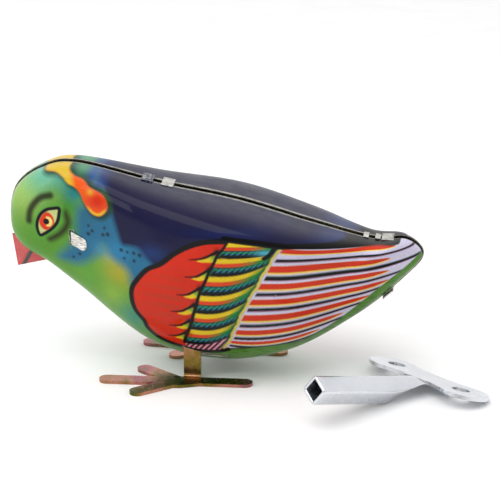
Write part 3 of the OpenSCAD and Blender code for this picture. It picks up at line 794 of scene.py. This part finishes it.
def beak_tin():
    """Red ink with a black mouth line on the beak, bare metal on the tang at each cheek."""
    m = Nodes("red_tin")
    axes = m.add("ShaderNodeSeparateXYZ")
    m.link(m.place, axes.inputs[0])
    height = m.math("MULTIPLY_ADD", axes.outputs["X"], -MOUTH_SLOPE, axes.outputs["Z"])
    mouth = MOUTH_AT[1] * MM - MOUTH_SLOPE * (SHIFT[0] + MOUTH_AT[0] * MM)
    off_line = m.math("ABSOLUTE", m.math("SUBTRACT", height, mouth))
    on_line = m.math("LESS_THAN", off_line, MOUTH_HALF * MM)
    behind = m.math("GREATER_THAN", axes.outputs["X"], SHIFT[0] + TANG_FROM[0] * MM)
    above = m.math("GREATER_THAN", axes.outputs["Z"], TANG_FROM[1] * MM)
    tang = m.math("MULTIPLY", behind, above)
    red = m.ramp(m.noise(160, 4), [(0.3, rgb(172, 26, 22)), (0.7, rgb(200, 52, 46))])
    metal = m.ramp(m.noise(700, 6, (1, 1, 3)), [(0.35, rgb(150, 148, 140)), (0.65, rgb(232, 230, 224))])
    ink = m.mix("MIX", on_line, red, rgb(28, 12, 12))
    m.link(m.mix("MIX", tang, ink, metal), m.shader.inputs["Base Color"])
    m.link(tang, m.shader.inputs["Metallic"])
    m.link(m.grey(m.noise(300, 4), 0.22, 0.42), m.shader.inputs["Roughness"])
    m.set(Coat_Weight=0.6, Coat_Roughness=0.1)
    m.bump(m.noise(400, 4), 0.1, 0.0002)
    return m.material


def print_lug():
    """Navy ink on a lug, rubbed through to the metal in places."""
    m = Nodes("navy_lug")
    worn = m.ramp(m.noise(900, 6, roughness=0.7), [(0.52, rgb(30, 32, 66)), (0.62, rgb(170, 170, 166))])
    m.link(worn, m.shader.inputs["Base Color"])
    m.link(m.grey(m.noise(400, 4), 0.2, 0.4), m.shader.inputs["Roughness"])
    m.set(Coat_Weight=0.8, Coat_Roughness=0.08, Metallic=0.3)
    m.bump(m.noise(700, 5), 0.3, 0.0003)
    return m.material


def floor_paper():
    """White paper sweep."""
    m = Nodes("floor_paper")
    m.link(m.grey(m.noise(40, 3), 0.9, 0.93), m.shader.inputs["Base Color"])
    m.set(Roughness=0.9)
    return m.material


# ---------- key socket ----------

# Outer and inner width, length and corner radius of the square tube; its roll on the floor.
SOCKET_S, SOCKET_IN, SOCKET_L, CORNER = 6.9, 4.9, 32.5, 1.1
ROLL = 11
# Centre, thickness and end radius of the bow; length of the pinched neck; the key on the floor.
BOW_X, BOW_T, BOW_END = 51.8, 1.2, 8.2
PINCH = 12.5
KEY_AT, KEY_YAW = (42.4, -46), math.radians(49.5)
# Height of the rolled tube's middle above its lowest edge.
HEEL = SOCKET_S / math.sqrt(2) - CORNER * (math.sqrt(2) - 1)


def key_matrix():
    """Turn and place of the key, which rests on its socket's mouth and on the bow's end."""
    pitch = math.atan((2 * HEEL - BOW_T) / (BOW_X + BOW_END - SOCKET_L))
    z = (BOW_X + BOW_END) * math.sin(pitch) - (HEEL - BOW_T) * math.cos(pitch)
    c, s = math.cos(KEY_YAW), math.sin(KEY_YAW)
    turn = np.array([[c, -s, 0], [s, c, 0], [0, 0, 1]])
    c, s = math.cos(pitch), math.sin(pitch)
    tip = np.array([[c, 0, s], [0, 1, 0], [-s, 0, c]])
    return turn @ tip, np.array([*KEY_AT, z])


def rounded_square(size, corner, turns=12):
    """Outline of a square with round corners."""
    out = []
    for q in range(4):
        for i in range(turns + 1):
            a = math.radians(90 * q + 90 * i / turns)
            cx = (size / 2 - corner) * (1 if q in (0, 3) else -1)
            cy = (size / 2 - corner) * (1 if q in (0, 1) else -1)
            out.append((cx + corner * math.cos(a), cy + corner * math.sin(a)))
    return np.array(out)


def socket_ring(x, size, corner, keep=1.0):
    """Ring of the tube at x; keep is how much of its height is left where it is pinched flat."""
    roll = math.radians(45 - ROLL * keep)
    p = rounded_square(size, corner)
    y = p[:, 0] * math.cos(roll) - p[:, 1] * math.sin(roll)
    z = p[:, 0] * math.sin(roll) + p[:, 1] * math.cos(roll)
    return np.stack([np.full(len(p), x), y * (1 + 0.3 * (1 - keep)), z * keep + HEEL * (1 - keep)], 1)


def socket_mesh():
    """Tube with a round-edged mouth and a blind hole, pinched on to the bow at its far end."""
    rings = [socket_ring(26.5, 0.6, 0.1)]
    rings += [socket_ring(x, SOCKET_IN, 0.35) for x in (26.5, 20, 12, 5, 0.5)]
    rings += [socket_ring(0.15, SOCKET_IN + 0.2, 0.4), socket_ring(0, SOCKET_IN + 0.6, 0.6)]
    rings += [socket_ring(0, SOCKET_S - 0.6, 0.8), socket_ring(0.15, SOCKET_S - 0.15, CORNER)]
    rings += [socket_ring(x, SOCKET_S, CORNER) for x in (0.5, 6, 12, 18, 24, 29, SOCKET_L)]
    flat = BOW_T / HEEL / 2
    stops = [0, 3.5, 7, 10, PINCH]
    keeps = [1, 0.84, 0.56, 0.3, flat]
    for i in range(1, 26):
        d = PINCH * i / 25
        rings.append(socket_ring(SOCKET_L + d, SOCKET_S, CORNER, float(np.interp(d, stops, keeps))))
    rings.append(socket_ring(SOCKET_L + PINCH + 0.05, 0.6, 0.1, flat))
    points = np.concatenate(rings)
    n = len(rings[0])
    sides = grid_faces(len(rings), n, 0)
    caps = [tuple(range(n))[::-1], tuple(range((len(rings) - 1) * n, len(rings) * n))]
    turn, at = key_matrix()
    mesh = build_mesh("socket", points @ turn.T + at, sides + caps)
    mesh.set_sharp_from_angle(angle=SHARP)
    return mesh


# ---------- assembling ----------

def add_object(name, mesh, materials, body, replaced):
    """Puts a finer model in a CAD node's place."""
    obj = bpy.data.objects.new(name, mesh)
    bpy.context.scene.collection.objects.link(obj)
    for material in materials:
        mesh.materials.append(material)
    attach(obj, body)
    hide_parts(replaced)
    return obj


def dress(node, material, bevel=0.0):
    """Gives a CAD node its finish, and rounds its edges a little."""
    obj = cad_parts[node]
    obj.data.materials.clear()
    obj.data.materials.append(material)
    obj.data.polygons.foreach_set("material_index", np.zeros(len(obj.data.polygons), np.int32))
    if bevel:
        mod = obj.modifiers.new("edges", "BEVEL")
        mod.width = bevel * MM
        mod.segments = 2
        mod.limit_method = "ANGLE"
        mod.angle_limit = math.radians(35)


def make_body():
    """The two printed halves, the beak and the lugs."""
    print_tin = printed_tin()
    # Painted shade: the cut edges (the seam walls and the faces inside the leg slot, cheek slit and winding
    # hole) get grey tin darkened well below the bare tin, so that they read as shaded.
    edge = bare_metal("shaded_cut_edge", rgb(150, 147, 138), rgb(84, 80, 74), scale=500)
    lining = bare_metal("lining", rgb(176, 162, 120), rgb(120, 108, 76), (0.3, 0.5), 120)
    bare = bare_metal("bare_tin", rgb(232, 230, 224), rgb(150, 148, 142), (0.15, 0.4), 500, (1, 1, 2), 0.3)
    for name, side in (("left", -1), ("right", 1)):
        mesh = shell_mesh(name + "_tin", side)
        sheet = [print_tin, lining, edge]
        half = add_object(name + "_tin", mesh, sheet, "bird", name + "_shell")
        cut_out(half, side)
    dress("beak", beak_tin(), 0.12)
    for node in ("back_lug", "rump_lug", "tail_lug", "belly_lug"):
        dress(node, bare, 0.12)
    dress("nape_lug", print_lug(), 0.12)


def make_key():
    """The socket tube and the flat bow, one finish for both."""
    zinc = bare_metal("bright_zinc", rgb(222, 225, 230), rgb(208, 211, 216), (0.22, 0.3), 70, bump=0.015)
    add_object("socket", socket_mesh(), [zinc], "key", "key_socket")
    dress("key_bow", zinc, 0.25)


def make_legs():
    """One finish for both legs."""
    finish = chromate()
    for side in ("left", "right"):
        dress(side + "_leg", finish, 0.3)


def make_motor():
    """Steel plates and arbors, brass wheels, a blue spring."""
    steel = bare_metal("steel", rgb(168, 170, 174), rgb(96, 98, 104), (0.25, 0.5), 260)
    brass = bare_metal("brass", rgb(214, 176, 96), rgb(150, 112, 52), (0.22, 0.45), 260)
    blue = bare_metal("blue_steel", rgb(112, 116, 134), rgb(60, 62, 80), (0.2, 0.4), 200)
    for node in ("great_wheel", "second_wheel", "crank_wheel", "flywheel"):
        dress(node, brass, 0.05)
    for node in ("frame_pillars", "winding_arbor", "ratchet_wheel", "click", "second_arbor",
                 "crank_shaft", "governor_arbor"):
        dress(node, steel, 0.08)
    for side in ("left", "right"):
        for kind in ("frame", "bracket", "crank_disc", "idler", "crank_cap", "idler_cap"):
            dress(f"{kind}_{side}", steel, 0.08)
    dress("mainspring", blue)


def area_light(name, at, target, size, power):
    """Soft rectangular light that faces a target."""
    data = bpy.data.lights.new(name, "AREA")
    data.shape = "RECTANGLE"
    data.size, data.size_y = size
    data.energy = power
    obj = bpy.data.objects.new(name, data)
    bpy.context.scene.collection.objects.link(obj)
    obj.location = at
    obj.rotation_mode = "QUATERNION"
    obj.rotation_quaternion = (Vector(target) - Vector(at)).to_track_quat("-Z", "Y")


# Camera: turn and height in radians, distance in metres, and the x and z that it looks at.
VIEW_AZIMUTH, VIEW_ELEVATION, VIEW_DISTANCE = math.radians(8), math.radians(19), 0.64
VIEW_CENTRE = (16.28, 41.43)
LENS, SENSOR = 141.9, 36


def make_world():
    """White room, dimmer on the viewer's side and below."""
    world = bpy.data.worlds.new("studio")
    bpy.context.scene.world = world
    world.use_nodes = True
    tree = world.node_tree
    place = tree.nodes.new("ShaderNodeTexCoord")
    axes = tree.nodes.new("ShaderNodeSeparateXYZ")
    tree.links.new(place.outputs["Generated"], axes.inputs[0])
    slope = tree.nodes.new("ShaderNodeMath")
    slope.operation = "MULTIPLY_ADD"
    slope.inputs[1].default_value = 0.45
    tree.links.new(axes.outputs["Z"], slope.inputs[0])
    tree.links.new(axes.outputs["Y"], slope.inputs[2])
    spread = tree.nodes.new("ShaderNodeMapRange")
    spread.inputs["From Min"].default_value = -1
    tree.links.new(slope.outputs[0], spread.inputs["Value"])
    room = tree.nodes.new("ShaderNodeValToRGB")
    dim, bright = room.color_ramp.elements
    dim.color = (0.34, 0.34, 0.35, 1)
    bright.position = 0.6
    tree.links.new(spread.outputs["Result"], room.inputs["Fac"])
    tree.links.new(room.outputs["Color"], tree.nodes["Background"].inputs["Color"])


def make_stage():
    """Floor, room and two soft lights."""
    bpy.ops.mesh.primitive_plane_add(size=6, location=(0, 0, 0))
    floor = bpy.context.object
    floor.name = "floor"
    floor.data.materials.append(floor_paper())
    make_world()
    area_light("softbox_top", (-0.2, -0.3, 0.8), (0, 0, 0.02), (0.9, 0.7), 4.2)
    area_light("softbox_left", (-0.7, -0.6, 0.4), (0, 0, 0.03), (0.3, 0.4), 1)


def make_camera():
    """Camera at the height and turn of the product shot."""
    flat = math.cos(VIEW_ELEVATION)
    back = Vector((math.sin(VIEW_AZIMUTH) * flat, -math.cos(VIEW_AZIMUTH) * flat, math.sin(VIEW_ELEVATION)))
    data = bpy.data.cameras.new("camera")
    data.sensor_width = SENSOR
    data.lens = LENS
    data.clip_start = 0.01
    cam = bpy.data.objects.new("camera", data)
    bpy.context.scene.collection.objects.link(cam)
    target = Vector((SHIFT[0] + VIEW_CENTRE[0] * MM, SHIFT[1], VIEW_CENTRE[1] * MM))
    cam.location = target + back * VIEW_DISTANCE
    cam.rotation_mode = "QUATERNION"
    cam.rotation_quaternion = (-back).to_track_quat("-Z", "Y")
    bpy.context.scene.camera = cam


bpy.context.scene.view_settings.view_transform = "Standard"
make_body()
make_key()
make_legs()
make_motor()
make_stage()
make_camera()
